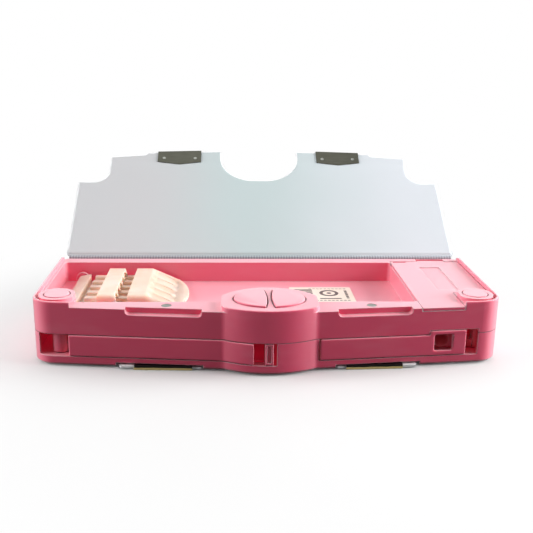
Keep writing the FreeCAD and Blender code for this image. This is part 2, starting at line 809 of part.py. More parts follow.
def drawer_button(side):
    # Half-oval key on a retaining flange, with a stem down to its drawer.
    key = shaped_button(side, 0, flange_bottom, top_z + button_proud)
    flange = shaped_button(side, button_flange, flange_bottom, flange_top)
    middle = box(-run_gap, run_gap, -half, half, flange_bottom, flange_top)
    key = key.fuse(flange.cut(middle))
    x = side * stem_x
    if side < 0:
        return key.fuse(rod(x, stem_y, foot_z, flange_bottom, stem_r))
    key = key.fuse(rod(x, stem_y, arm_bottom, flange_bottom, stem_r))
    key = key.fuse(box(x, foot_x, stem_y - foot_r, stem_y + foot_r, arm_bottom, arm_bottom + arm_t))
    return key.fuse(rod(foot_x, stem_y, foot_z, arm_bottom + arm_t, foot_r))


def button_carrier():
    # Plate across the foot of the console that guides the stems and seats their springs.
    z1 = carrier_z + carrier_t
    plate = console(wall, carrier_z, z1).common(box(-half, half, carrier_y0, carrier_y1, carrier_z, z1))
    for side in (-1, 1):
        plate = plate.cut(rod(side * stem_x, stem_y, carrier_z, z1, stem_r + run_gap))
    return plate


cap_flange_top = top_z - well_roof - run_gap
cap_flange_bottom = cap_flange_top - cap_flange_t


def round_button(side):
    x = side * boss_x
    cap = rod(x, boss_y, cap_flange_bottom, top_z + cap_proud, cap_r)
    return cap.fuse(rod(x, boss_y, cap_flange_bottom, cap_flange_top, cap_flange_r))


def tab_edge(u):
    return tab_v + (tab_tip_v - tab_v) * (tab_u - u) / (tab_u - middle_u)


def lid_face(reach, back_r, tab_out):
    right = [
        (reach, lid_start, back_r),
        (reach, notch_v, lid_corner_r),
        (notch_u, notch_v, notch_r),
        (notch_u, edge_v, lid_corner_r),
        (edge_in_u, edge_in_v, 0),
        (tab_u, tab_v + tab_out, 0),
        (tab_in_u, tab_edge(tab_in_u) + tab_out, 0),
        (tab_in_u - run_gap, tab_edge(tab_in_u - run_gap), 0),
        (middle_u, tab_tip_v, lid_corner_r),
        (middle_u, middle_v, middle_r),
    ]
    left = [(-u, v, r) for u, v, r in reversed(right)]
    return rounded_face([(u, -v, r) for u, v, r in right + left])


clip_back = tab_edge((clip_u0 + clip_u1) / 2) - clip_depth


def clip_plate(side, tab_out, grow, z0, z1):
    # Plan of one clip, with a shallow point on its inner edge.
    reach = clip_nose + tab_out
    points = [
        (clip_u0 - grow, clip_back - grow),
        ((clip_u0 + clip_u1) / 2, clip_back - clip_point - grow),
        (clip_u1 + grow, clip_back - grow),
        (clip_u1 + grow, tab_edge(clip_u1) + reach),
        (clip_u0 - grow, tab_edge(clip_u0) + reach),
    ]
    corners = [Vec(side * u, -v, 0) for u, v in points]
    return raised(Part.Face(Part.makePolygon(corners + corners[:1])), z0, z1)


inner_face = -hinge_above_face
outer_face = lid_t - hinge_above_face


def lid_board(outline):
    # Stiffening card sealed between the two skins.
    face = outline.makeOffset2D(-weld_margin)
    card = raised(face, inner_face + skin_t, outer_face - skin_t)
    card_end = clip_back - clip_point - board_gap
    return card.common(box(-half, half, -card_end, 0, inner_face, outer_face))


def lid_cover(outline, tab_out):
    # Welded vinyl envelope with sunk seats for the clips and a round bead along the hinge.
    panel = raised(outline, inner_face, outer_face).cut(lid_board(outline))
    for side in (-1, 1):
        panel = panel.cut(clip_plate(side, tab_out, seat_gap, inner_face, inner_face + clip_t))
        panel = panel.cut(clip_plate(side, tab_out, seat_gap, outer_face - clip_t, outer_face))
    web = box(-bead_half, bead_half, -lid_start, 0, -web_t / 2, web_t / 2)
    bead = rod_along((1, 0, 0), (-bead_half, 0, 0), 2 * bead_half, bead_r)
    return panel.fuse(web).fuse(bead)


def lid_clips(outline, tab_out):
    # Steel strips folded over the front tabs.
    clips = []
    for side in (-1, 1):
        tongue = raised(outline, inner_face + clip_t, outer_face - clip_t)
        clips.append(clip_plate(side, tab_out, 0, inner_face, outer_face).cut(tongue))
    return Part.Compound(clips)


top_hinge_z = ledge_z + seat_gap + hinge_above_face
bottom_hinge_z = lid_t - hinge_above_face


def on_top(shape):
    # Hung on the top hinge and folded back to the resting angle.
    shape.rotate(Vec(0, 0, 0), Vec(-1, 0, 0), lid_open_angle)
    shape.translate(Vec(0, hinge_y, top_hinge_z))
    return shape


def underneath(shape):
    # Closed under the box, inner face up.
    turned = shape.mirror(Vec(0, 0, 0), Vec(0, 0, 1))
    turned.translate(Vec(0, hinge_y, bottom_hinge_z))
    return turned


def back_spine():
    z0 = bottom_hinge_z + bead_r + run_gap
    z1 = top_hinge_z - bead_r - run_gap
    return box(-spine_half, spine_half, back_y, back_y + spine_t, z0, z1)


def name_label():
    x, y = label_at
    w, d = label_size
    return box(x - w / 2, x + w / 2, y - d / 2, y + d / 2, tray_z, tray_z + label_t)


top_outline = lid_face(top_lid_half, lid_corner_r, 0)
bottom_outline = lid_face(bottom_lid_half, bottom_back_r, bottom_tab_out)

nodes = {
    "upper_case": upper_case(),
    "lower_case": lower_case(),
    "button_carrier": button_carrier(),
    "well_caps": well_caps(),
    "back_spine": back_spine(),
    "name_label": name_label(),
    "top_magnets": magnets(ledge_z - seat_gap - magnet_t),
    "bottom_magnets": magnets(lid_seat_z + seat_gap),
    "left_drawer": left_drawer(),
    "left_drawer_pin": pivot_pin(left_pivot),
    "left_drawer_button": drawer_button(-1),
    "left_drawer_spring": bow_spring(-drawer_spring_x, button_mid_y, carrier_z + carrier_t, flange_bottom),
    "right_drawer": right_drawer(),
    "right_drawer_pin": pivot_pin(right_pivot),
    "right_drawer_button": drawer_button(1),
    "right_drawer_spring": bow_spring(drawer_spring_x, button_mid_y, carrier_z + carrier_t, flange_bottom),
    "sharpener_body": sharpener_body(),
    "sharpener_blade": sharpener_blade(),
    "blade_screw": blade_screw(),
    "front_slider": front_slider(),
    "pencil_rack": pencil_rack(),
    "rack_pin": rack_pin(),
    "rack_button": round_button(-1),
    "rack_button_spring": bow_spring(-boss_x, boss_y, well_floor_z + well_cap_t, cap_flange_bottom),
    "flap": flap(),
    "flap_pin": flap_pin(),
    "flap_button": round_button(1),
    "flap_button_spring": bow_spring(boss_x, boss_y, well_floor_z + well_cap_t, cap_flange_bottom),
    "top_lid_cover": on_top(lid_cover(top_outline, 0)),
    "top_lid_board": on_top(lid_board(top_outline)),
    "top_lid_clips": on_top(lid_clips(top_outline, 0)),
    "bottom_lid_cover": underneath(lid_cover(bottom_outline, bottom_tab_out)),
    "bottom_lid_board": underneath(lid_board(bottom_outline)),
    "bottom_lid_clips": underneath(lid_clips(bottom_outline, bottom_tab_out)),
}

for name, shape in nodes.items():
    shape.exportStep("parts/%s.step" % name)
print("wrote", len(nodes), "nodes")
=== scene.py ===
import json
import math

import bmesh
import bpy
import numpy as np
from mathutils import Matrix, Vector
from mathutils.geometry import delaunay_2d_cdt


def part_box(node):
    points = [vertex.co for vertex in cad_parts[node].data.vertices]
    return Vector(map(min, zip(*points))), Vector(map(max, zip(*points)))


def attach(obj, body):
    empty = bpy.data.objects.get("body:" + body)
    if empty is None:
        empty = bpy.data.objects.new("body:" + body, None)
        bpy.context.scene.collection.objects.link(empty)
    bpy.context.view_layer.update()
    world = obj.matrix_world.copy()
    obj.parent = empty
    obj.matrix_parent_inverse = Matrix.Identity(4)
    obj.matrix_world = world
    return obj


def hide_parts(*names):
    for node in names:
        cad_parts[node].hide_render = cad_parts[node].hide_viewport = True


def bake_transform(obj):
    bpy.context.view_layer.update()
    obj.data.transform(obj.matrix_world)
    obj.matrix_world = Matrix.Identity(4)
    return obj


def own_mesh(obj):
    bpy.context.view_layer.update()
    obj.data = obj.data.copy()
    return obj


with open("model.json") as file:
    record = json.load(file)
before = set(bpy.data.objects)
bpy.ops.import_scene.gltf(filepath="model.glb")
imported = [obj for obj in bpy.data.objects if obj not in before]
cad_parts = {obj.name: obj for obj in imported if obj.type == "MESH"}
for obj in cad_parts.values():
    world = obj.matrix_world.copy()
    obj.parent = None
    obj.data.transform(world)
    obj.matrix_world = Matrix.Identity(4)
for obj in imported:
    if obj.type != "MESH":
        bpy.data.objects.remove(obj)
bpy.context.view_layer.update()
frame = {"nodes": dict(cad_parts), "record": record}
nodes = frame["nodes"]
scene = bpy.context.scene
mm = 0.001  # scene units are metres, sizes below are written in millimetres
jointOf = {joint["name"]: joint for joint in frame["record"]["behaviour"]["joints"]}
print("frame loaded:", len(nodes), "nodes")


def measured(length):  # a length from the frame, in millimetres
    return round(length / mm, 3)


class Wire:
    # an output socket that takes part in plain arithmetic
    def __init__(self, finish, socket):
        self.finish = finish
        self.socket = socket

    def maths(self, operation, *values):
        return self.finish.add("ShaderNodeMath", {"operation": operation}, dict(enumerate(values)))

    def __add__(self, other):
        return self.maths("ADD", self, other)

    def __radd__(self, other):
        return self.maths("ADD", other, self)

    def __sub__(self, other):
        return self.maths("SUBTRACT", self, other)

    def __rsub__(self, other):
        return self.maths("SUBTRACT", other, self)

    def __mul__(self, other):
        return self.maths("MULTIPLY", self, other)

    def __rmul__(self, other):
        return self.maths("MULTIPLY", other, self)

    def __truediv__(self, other):
        return self.maths("DIVIDE", self, other)

    def __pow__(self, other):
        return self.maths("POWER", self, other)

    def __gt__(self, other):
        return self.maths("GREATER_THAN", self, other)

    def __lt__(self, other):
        return self.maths("LESS_THAN", self, other)

    def clamped(self, low, high):
        return self.maths("MINIMUM", self.maths("MAXIMUM", self, low), high)

    def ramp(self, low, high):  # 0 below low, 1 above high, soft in between
        settings = {"interpolation_type": "SMOOTHSTEP"}
        return self.finish.add("ShaderNodeMapRange", settings, {0: self, 1: low, 2: high, 3: 0.0, 4: 1.0})


class Finish:
    # one procedural material, or the world's
    def __init__(self, name, world=None):
        self.material = world or bpy.data.materials.new(name)
        self.material.use_nodes = True
        self.tree = self.material.node_tree
        self.tree.nodes.clear()
        self.place = self.add("ShaderNodeTexCoord", out="Object")

    def add(self, kind, settings=None, sockets=None, out=0):
        made = self.tree.nodes.new(kind)
        for key, value in (settings or {}).items():
            setattr(made, key, value)
        for key, value in (sockets or {}).items():
            if isinstance(value, Wire):
                self.tree.links.new(value.socket, made.inputs[key])
            else:
                made.inputs[key].default_value = value
        return Wire(self, made.outputs[out])

    def noise(self, size, detail=2.0, place=None, roughness=0.5):  # size of a blotch in millimetres
        values = {"Scale": 1 / (size * mm), "Detail": detail, "Roughness": roughness}
        return self.add("ShaderNodeTexNoise", None, dict(values, Vector=place or self.place))

    def stretched(self, x, y, z):
        return self.add("ShaderNodeVectorMath", {"operation": "MULTIPLY"}, {0: self.place, 1: (x, y, z)})

    def axis(self, name):
        return self.add("ShaderNodeSeparateXYZ", None, {0: self.place}, name)

    def mixed(self, factor, first, second):
        return self.add("ShaderNodeMix", {"data_type": "RGBA"}, {0: factor, 6: first, 7: second}, 2)

    def grey(self, shade):
        return self.add("ShaderNodeCombineColor", None, {0: shade, 1: shade, 2: shade})

    def blended(self, factor, first, second):
        return self.add("ShaderNodeMixShader", None, {0: factor, 1: first, 2: second})

    def edges(self, width):  # 1 on sharp edges, 0 on flats
        rounded = self.add("ShaderNodeBevel", {"samples": 6}, {"Radius": width * mm})
        flat = self.add("ShaderNodeNewGeometry", out="Normal")
        dot = self.add("ShaderNodeVectorMath", {"operation": "DOT_PRODUCT"}, {0: rounded, 1: flat}, "Value")
        return rounded, (1 - dot).ramp(0.01, 0.16)

    def crevices(self, reach):  # 1 deep in a narrow gap, 0 in the open
        light = self.add("ShaderNodeAmbientOcclusion", {"samples": 6}, {"Distance": reach * mm}, "AO")
        return (1 - light).ramp(0.58, 0.92)

    def bump(self, height, depth, normal=None):
        values = {"Height": height, "Strength": 1.0, "Distance": depth * mm}
        if normal:
            values["Normal"] = normal
        return self.add("ShaderNodeBump", None, values)

    def close(self, colour, roughness, normal, **fixed):
        values = {"Base Color": colour, "Roughness": roughness, "Normal": normal}
        for key, value in fixed.items():  # coat_weight stands for the socket Coat Weight
            values[key.replace("_", " ").title().replace("Ior", "IOR")] = value
        return self.output("Material", self.add("ShaderNodeBsdfPrincipled", None, values))

    def output(self, kind, shader):
        end = self.tree.nodes.new("ShaderNodeOutput" + kind)
        self.tree.links.new(shader.socket, end.inputs["Surface"])
        return self.material


pinkLook = {
    "colour": (0.80, 0.082, 0.168, 1),
    "pale": (0.97, 0.58, 0.64, 1),
    "deep": (0.74, 0.062, 0.136, 1),
    # the next four lines hold a pale edge colour that is part wear and part painted highlight, a dark colour
    # of painted shade, and shares of painted light that pale the tops, the ends and the area behind the front
    # wall
    "wearAndHighlight": (0.99, 0.72, 0.77, 1),
    "paintedShade": (0.22, 0.008, 0.02, 1),
    "topPaintedLight": 0.46, "rightPaintedLight": 0.42, "leftPaintedLight": 0.24,
    "backPaintedLight": 0.14, "front": -44.0, "back": -30.0,
    "roughness": 0.3,
    "edge": 0.7,
}


def pinkPlastic(name, look):
    f = Finish(name)
    rounded, edge = f.edges(look["edge"])
    cloud = f.noise(70, 2)
    flow = f.noise(8, 3, f.stretched(0.25, 1, 1))
    grain = f.noise(0.35, 2)
    scuff = f.noise(1.1, 5, f.stretched(1, 0.12, 1), 0.7)
    colour = f.mixed(cloud.ramp(0.3, 0.7) * 0.16, look["colour"], look["deep"])
    colour = f.mixed(flow.ramp(0.45, 0.8) * 0.06, colour, look["pale"])
    behind = (f.axis("Y") / mm).ramp(look["front"], look["back"])
    colour = f.mixed(behind * look["backPaintedLight"], colour, look["pale"])  # painted light: paler behind the front wall, leaving the front wall deepest as painted shade
    facing = f.add("ShaderNodeTexCoord", out="Normal")
    upward = f.add("ShaderNodeSeparateXYZ", None, {0: facing}, "Z").ramp(0.35, 0.95)
    sideways = f.add("ShaderNodeSeparateXYZ", None, {0: facing}, "X")
    right = sideways.ramp(0.12, 0.8) * look["rightPaintedLight"]
    left = (0 - sideways).ramp(0.12, 0.8) * look["leftPaintedLight"]
    paintedLight = upward * look["topPaintedLight"] + (right + left)  # painted light: paler on the top and at the ends, the right end most
    colour = f.mixed(paintedLight, colour, look["pale"])
    # paler edges: partly wear, partly a painted highlight
    colour = f.mixed(edge * 0.9, colour, look["wearAndHighlight"])
    # painted shade: the narrowest gaps are darkened by how shut in they are
    gapShade = f.crevices(2.0)
    colour = f.mixed(gapShade * 0.85, colour, look["paintedShade"])
    if "seam" in look:  # painted shade: a dark line where the two mouldings meet
        away = f.axis("Z") / mm - look["seam"]
        line = 1 - away.maths("ABSOLUTE", away).ramp(0.1, 0.32)
        colour = f.mixed(line * 0.8, colour, look["paintedShade"])
    glow = {}
    if "soak" in look:  # a faint glow in the closed bays stands in for light that soaks through the walls
        above = (f.axis("Z") / mm).ramp(look["foot"], look["foot"] + 1)
        bay = f.crevices(look["bay"]) * (1 - gapShade) * above
        glow = {"emission_color": f.mixed(bay, (0, 0, 0, 1), look["soak"]), "emission_strength": 1.0}
        f.material.cycles.emission_sampling = "NONE"
    smear = f.noise(20, 3)
    roughness = look["roughness"] + (smear - 0.5) * 0.05 + scuff.ramp(0.66, 0.82) * 0.06 - edge * 0.1
    height = grain * 0.25 + flow * 0.12 + scuff.ramp(0.68, 0.82) * -0.2
    normal = f.bump(height, 0.006, rounded)
    return f.close(colour, roughness.clamped(0.18, 0.6), normal, ior=1.5,
                   coat_weight=0.35, coat_roughness=0.12,
                   sheen_weight=0.4, sheen_roughness=0.3, sheen_tint=(1, 0.94, 0.95, 1),
                   subsurface_weight=0.1, subsurface_radius=(0.004, 0.0012, 0.0014),
                   subsurface_scale=0.4, **glow)


pink = pinkPlastic("moulded pink plastic", pinkLook)
parting = measured(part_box("lower_case")[1].z)
caseLook = dict(pinkLook, seam=parting, soak=(0.16, 0.003, 0.012, 1), bay=14.0, foot=3.0)
casePink = pinkPlastic("moulded pink case", caseLook)

rackLook = {"colour": (0.88, 0.64, 0.51, 1), "pale": (0.94, 0.75, 0.64, 1), "roughness": 0.34}


def creamPlastic(look):
    f = Finish("cream rack plastic")
    rounded, edge = f.edges(0.3)
    cloud = f.noise(16, 4)
    grain = f.noise(0.4, 2)
    colour = f.mixed(cloud.ramp(0.35, 0.7), look["colour"], look["pale"])
    # paler edges: partly wear, partly a painted highlight
    colour = f.mixed(edge * 0.5, colour, look["pale"])
    roughness = look["roughness"] + (f.noise(7, 3) - 0.5) * 0.2
    normal = f.bump(grain * 0.4 + cloud * 0.5, 0.02, rounded)
    return f.close(colour, roughness.clamped(0.2, 0.6), normal, subsurface_weight=0.45,
                   subsurface_radius=(0.006, 0.004, 0.003), subsurface_scale=0.8)


cream = creamPlastic(rackLook)

vinylLook = {
    "colour": (0.53, 0.535, 0.55, 1),
    "coolLitTint": (0.66, 0.69, 0.735, 1),
    "green": (0.48, 0.57, 0.575, 1),
    "weld": (0.92, 0.93, 0.94, 1),
    "stitch": (0.13, 0.12, 0.17, 1),
    "roughness": 0.34,
}


def lidVinyl(look):
    f = Finish("milky lid vinyl")
    wash = f.noise(90, 2)
    across = f.axis("X") + (wash - 0.5) * 0.05
    colour = f.mixed(across.ramp(-0.08, 0.0), look["colour"], look["green"])
    # towards the right the vinyl turns cooler in tint and lighter; the lightening is painted light
    colour = f.mixed(across.ramp(0.0, 0.1) * 0.9, colour, look["coolLitTint"])
    weld = f.add("ShaderNodeAttribute", {"attribute_name": "weld"}, None, "Fac")
    colour = f.mixed(weld.clamped(0, 1), colour, look["weld"])
    colour = f.mixed((0 - weld).clamped(0, 1), colour, look["stitch"])
    pebble = f.add("ShaderNodeTexVoronoi", {"feature": "SMOOTH_F1"}, {"Vector": f.place, "Scale": 1600.0})
    roughness = look["roughness"] + (f.noise(30, 3) - 0.5) * 0.12 - weld * 0.06
    normal = f.bump(pebble * 0.3 + f.noise(3, 3) * 0.5 + wash * 3, 0.025)
    return f.close(colour, roughness.clamped(0.2, 0.6), normal, coat_weight=0.1, coat_roughness=0.25)


vinyl = lidVinyl(vinylLook)

clipLook = {
    "colour": (0.11, 0.111, 0.086, 1), "bright": (0.21, 0.21, 0.175, 1),
    "roughness": 0.42, "streak": 0.4, "edge": 0.2,
}
magnetLook = {
    "colour": (0.30, 0.315, 0.28, 1), "bright": (0.70, 0.71, 0.67, 1),
    "roughness": 0.3, "streak": 0.4, "edge": 0.3,
}
steelLook = {
    "colour": (0.50, 0.50, 0.50, 1), "bright": (0.75, 0.75, 0.75, 1),
    "roughness": 0.25, "streak": 0.5, "edge": 0.1,
}


def brushedSteel(name, look):
    f = Finish(name)
    rounded, edge = f.edges(look["edge"])
    brush = f.noise(0.5, 4, f.stretched(0.05, 1, 1), 0.65)
    stain = f.noise(5, 4)
    colour = f.mixed(brush.ramp(0.3, 0.8) * look["streak"], look["colour"], look["bright"])
    # lighter edges: partly wear, partly a painted highlight
    colour = f.mixed(edge * 0.9, colour, look["bright"])
    roughness = look["roughness"] + (brush - 0.5) * 0.3 + (stain - 0.5) * 0.2
    normal = f.bump(brush, 0.012, rounded)
    return f.close(colour, roughness.clamped(0.12, 0.7), normal, metallic=1.0)


clipSteel = brushedSteel("dull clip steel", clipLook)
magnetSteel = brushedSteel("plated magnet", magnetLook)
plainSteel = brushedSteel("drawn steel", steelLook)

foldLook = {
    # a dark colour of painted shade and a brass-coloured painted reflection
    "colour": (0.012, 0.011, 0.01, 1), "paintedGlint": (0.98, 0.77, 0.32, 1), "roughness": 0.32,
    "low": 0.15, "high": 1.2, "soft": 0.1,
}


def glintBandClip(look):
    # dark clip with a brass-coloured band on its folded edge; the dark is painted shade and the band a
    # painted warm reflection
    f = Finish("painted glint clip")
    wobble = f.noise(1.2, 3, f.stretched(0.2, 1, 1))
    height = f.axis("Z") / mm + (wobble - 0.5) * 0.3
    over = height.ramp(look["low"] - look["soft"], look["low"])
    glintBand = over * (1 - height.ramp(look["high"] - look["soft"], look["high"]))
    colour = f.mixed(glintBand, look["colour"], look["paintedGlint"])
    roughness = look["roughness"] + (wobble - 0.5) * 0.2
    return f.close(colour, roughness.clamped(0.15, 0.6), f.bump(wobble, 0.01), metallic=0.2)


footClip = glintBandClip(foldLook)

paperLook = {
    "colour": (0.90, 0.80, 0.70, 1), "yellowed": (0.84, 0.71, 0.58, 1), "ink": (0.05, 0.04, 0.045, 1),
}
printSize = {  # shares of the sticker's width and depth: left, right, near, far
    "bars": (0.07, 0.36, 0.42, 0.86), "barCount": 11, "barShare": 0.72,
    "ringAt": (0.62, 0.60), "ringStretch": 1.31, "ring": (0.13, 0.20), "dot": 0.05,
    "foot": (0.45, 0.79, 0.22, 0.28),
    "rules": ((0.30, 0.92, 0.86, 0.91), (0.30, 0.92, 0.10, 0.15), (0.86, 0.92, 0.25, 0.80)),
}


def stickerPaper(look, s):
    # plain marks only: bars, a ring round a dot and short rules
    f = Finish("sticker paper")
    age = f.noise(11, 4)
    fibre = f.noise(0.3, 4, f.stretched(1, 0.3, 1))
    colour = f.mixed(age.ramp(0.4, 0.8) * 0.5, look["colour"], look["yellowed"])
    low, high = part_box("name_label")
    across = (f.axis("X") - low.x) / (high.x - low.x)
    along = (f.axis("Y") - low.y) / (high.y - low.y)

    def within(value, first, last):
        return (value > first) * (value < last)

    def block(left, right, near, far):
        return within(across, left, right) * within(along, near, far)

    def bars(value, count, share):
        turns = value * count
        return turns.maths("FRACT", turns) < share

    ringX, ringY = s["ringAt"]
    ring = (((across - ringX) * s["ringStretch"]) ** 2 + (along - ringY) ** 2) ** 0.5
    marks = block(*s["bars"]) * bars(along, s["barCount"], s["barShare"])
    marks = marks + within(ring, *s["ring"]) + (ring < s["dot"]) + block(*s["foot"])
    for rule in s["rules"]:
        marks = marks + block(*rule) * bars(across, 16, 0.7) * bars(along, 9, 0.8)
    colour = f.mixed(marks.clamped(0, 1) * 0.92, colour, look["ink"])
    roughness = 0.5 + (fibre - 0.5) * 0.2
    return f.close(colour, roughness.clamped(0.3, 0.8), f.bump(fibre, 0.015))


paper = stickerPaper(paperLook, printSize)

cardLook = {"colour": (0.42, 0.36, 0.28, 1), "pale": (0.55, 0.49, 0.40, 1)}


def greyCard(look):
    f = Finish("stiffening card")
    fibre = f.noise(0.6, 5, f.stretched(1, 0.4, 1), 0.7)
    colour = f.mixed(fibre, look["colour"], look["pale"])
    return f.close(colour, 0.8 + (fibre - 0.5) * 0.2, f.bump(fibre, 0.03))


card = greyCard(cardLook)
print("finishes made")

slotFinish = {
    "pink_plastic": pink, "cream_plastic": cream, "vinyl": vinyl, "board": card,
    "clip_steel": clipSteel, "magnet": magnetSteel, "steel": plainSteel, "label": paper,
}
caseNodes = ("upper_case", "lower_case")
slotOf = {entry["node"]: entry["material_slot"] for entry in frame["record"]["subparts"]}
for name, node in nodes.items():
    node.data.materials.clear()
    node.data.materials.append(casePink if name in caseNodes else slotFinish[slotOf[name]])


def bodyOf(name):
    for body, members in frame["record"]["behaviour"]["bodies"].items():
        if name in members:
            return body


def shaded(mesh, angle):
    mesh.polygons.foreach_set("use_smooth", [True] * len(mesh.polygons))
    mesh.set_sharp_from_angle(angle=math.radians(angle))


def piece(name, mesh, material, body):
    mesh.materials.clear()
    mesh.materials.append(material)
    made = bpy.data.objects.new(name, mesh)
    scene.collection.objects.link(made)
    if body:
        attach(made, body)
    return made


def baked(mesh, width):
    # bevel along the edges of a mesh, kept as plain geometry
    holder = bpy.data.objects.new("holder", mesh)
    scene.collection.objects.link(holder)
    bevel = holder.modifiers.new("round", "BEVEL")
    bevel.width = width * mm
    bevel.segments = 2
    bevel.limit_method = "ANGLE"
    bevel.angle_limit = math.radians(35)
    bevel.use_clamp_overlap = False
    bevel.harden_normals = True
    bevel.miter_outer = "MITER_ARC"
    done = bpy.data.meshes.new_from_object(holder.evaluated_get(bpy.context.evaluated_depsgraph_get()))
    bpy.data.objects.remove(holder)
    return done


copySize = {
    "join": 0.002, "flatAngle": 1.0, "sharpAngle": 30,
    "frontTurn": -0.4, "frontY": -38, "uprightTurn": 0.3,  # which faces count as front and as upright
}


def softened(name, node, width, proud=0, trim=0, s=copySize):
    # rounded copy of a node; its front can stand proud and its sides can be trimmed
    bm = bmesh.new()
    bm.from_mesh(nodes[node].data)
    bmesh.ops.remove_doubles(bm, verts=bm.verts, dist=s["join"] * mm)
    bmesh.ops.dissolve_limit(bm, angle_limit=math.radians(s["flatAngle"]), verts=bm.verts, edges=bm.edges)
    facing = [face for face in bm.faces if face.normal.y < s["frontTurn"]]
    front = [face for face in facing if face.calc_center_median().y < s["frontY"] * mm]
    for v in {v for face in front for v in face.verts}:
        v.co.y -= proud * mm
    for v in bm.verts:
        walls = [face.normal for face in v.link_faces if abs(face.normal.z) < s["uprightTurn"]]
        way = sum(walls, Vector())
        v.co -= Vector((way.x, way.y, 0)).normalized() * trim * mm
    mesh = bpy.data.meshes.new(name)
    bm.to_mesh(mesh)
    bm.free()
    shaded(mesh, s["sharpAngle"])
    mesh = baked(mesh, width)
    mesh.name = name
    slotName = slotOf[node]
    made = piece(name, mesh, slotFinish[slotName], bodyOf(node))
    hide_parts(node)
    return made


mouldings = {  # node, edge radius, how far its front stands proud, how much its sides lose
    "leftDrawerFront": ("left_drawer", 0.7, 0.6),
    "rightDrawerFront": ("right_drawer", 0.7, 0.6),
    "leftKey": ("left_drawer_button", 0.6, 0, 0.25),
    "rightKey": ("right_drawer_button", 0.6, 0, 0.25),
    "leftRoundCap": ("rack_button", 0.3, 0, 0.2),
    "rightRoundCap": ("flap_button", 0.3, 0, 0.2),
    "thumbBar": ("front_slider", 0.25),
    "creamRack": ("pencil_rack", 0.3),
    "sharpenerWedge": ("sharpener_body", 0.25),
    "ledgeMagnets": ("top_magnets", 0.2),
    "footMagnets": ("bottom_magnets", 0.2),
    "topClips": ("top_lid_clips", 0.12),
    "bottomClips": ("bottom_lid_clips", 0.12),
}
for name, settings in mouldings.items():
    softened(name, *settings)
bpy.data.objects["bottomClips"].data.materials[0] = footClip
print("mouldings rounded")

springNames = {
    "left_drawer_spring": "leftKeySpring", "right_drawer_spring": "rightKeySpring",
    "rack_button_spring": "leftCapSpring", "flap_button_spring": "rightCapSpring",
}
springEdge = 0.1


def pressedSprings(names):
    # a rounded copy of each spring that a joint deforms, with a mesh of its own
    for joint in jointOf.values():
        for entry in joint.get("deforming_nodes", []):
            foot = entry["fixed_end_z_m"]
            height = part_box(entry["node"])[1].z - foot
            made = softened(names[entry["node"]], entry["node"], springEdge)
            1 - joint["range_m"][1] / height
            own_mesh(made)


pressedSprings(springNames)
print("springs set")

lidSize = {
    "half": measured(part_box("top_lid_cover")[1].x), "start": 1.6, "backR": 1.5, "cornerR": 1.5,
    "notchV": 60.3, "notchU": 93.7, "notchR": 9.0, "edgeV": 82.6, "edgeInU": 72.5, "edgeInV": 84.6,
    "tabU": 70.5, "tabV": 86.4, "tabInU": 32.5, "tabOut": 0.0, "tabStep": 0.3,
    "tipV": 88.2, "middleU": 24.0, "middleV": 62.3, "middleR": 20.0,
    "inner": -0.4, "outer": 1.8, "rim": 0.5, "full": 1.0, "clipV": 77.0, "clipRun": 3.0, "clipSunk": 0.62,
    "wave": 0.035, "ripple": 0.02, "rings": (0.3, 0.6, 0.95, 1.4, 2.2), "spacing": 3.2, "step": 1.2,
}
bottomSize = dict(lidSize, half=measured(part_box("bottom_lid_cover")[1].x), backR=6.0, tabOut=3.0)


def roundedOutline(corners, step):
    # closed outline through (x, y, radius) corners, sampled about every step
    points = []
    count = len(corners)
    for i, (x, y, r) in enumerate(corners):
        here = np.array((x, y))
        before = np.array(corners[i - 1][:2]) - here
        after = np.array(corners[(i + 1) % count][:2]) - here
        before /= np.linalg.norm(before)
        after /= np.linalg.norm(after)
        halfTurn = math.acos(np.clip(before @ after, -1, 1)) / 2
        if r == 0:
            points.append(here)
            continue
        middle = (before + after) / np.linalg.norm(before + after)
        centre = here + middle * r / math.sin(halfTurn)
        first = here + before * r / math.tan(halfTurn) - centre
        last = here + after * r / math.tan(halfTurn) - centre
        a0 = math.atan2(first[1], first[0])
        turn = (math.atan2(last[1], last[0]) - a0 + math.pi) % (2 * math.pi) - math.pi
        pieces = max(3, int(abs(turn) * r / step))
        for k in range(pieces + 1):
            a = a0 + turn * k / pieces
            points.append(centre + r * np.array((math.cos(a), math.sin(a))))
    dense = []
    for p, q in zip(points, points[1:] + points[:1]):
        pieces = max(1, int(np.linalg.norm(q - p) / step))
        dense += [p + (q - p) * k / pieces for k in range(pieces)]
    return np.array(dense)


def insideDistance(points, outline):
    # distance to the outline, negative outside it
    a = outline
    d = np.roll(outline, -1, 0) - a
    best = np.full(len(points), 1e9)
    inside = np.zeros(len(points), bool)
    for (ax, ay), (dx, dy) in zip(a, d):
        px, py = points[:, 0] - ax, points[:, 1] - ay
        t = np.clip((px * dx + py * dy) / (dx * dx + dy * dy + 1e-12), 0, 1)
        best = np.minimum(best, np.hypot(px - t * dx, py - t * dy))
        crosses = (py < 0) != (py - dy < 0)
        if dy:
            inside ^= crosses & (px < py / dy * dx)
    return np.where(inside, best, -best)


def sheetPoints(outline, rings, spacing):
    # outline points first, then rows of points at set distances inside, then a grid
    ahead = np.roll(outline, -1, 0) - np.roll(outline, 1, 0)
    normal = np.stack((-ahead[:, 1], ahead[:, 0]), 1) / np.linalg.norm(ahead, axis=1)[:, None]
    probe = insideDistance(outline + normal * 0.05, outline)
    normal *= np.where(probe.mean() > 0, 1, -1)
    found = [outline]
    for ring in rings:
        row = outline + normal * ring
        found.append(row[insideDistance(row, outline) > ring * 0.97])
    low, high = outline.min(0), outline.max(0)
    xs = np.arange(low[0] + spacing / 2, high[0], spacing)
    ys = np.arange(low[1] + spacing / 2, high[1], spacing)
    grid = np.stack(np.meshgrid(xs, ys), -1).reshape(-1, 2)
    found.append(grid[insideDistance(grid, outline) > max(rings) + spacing * 0.4])
    return np.concatenate(found)


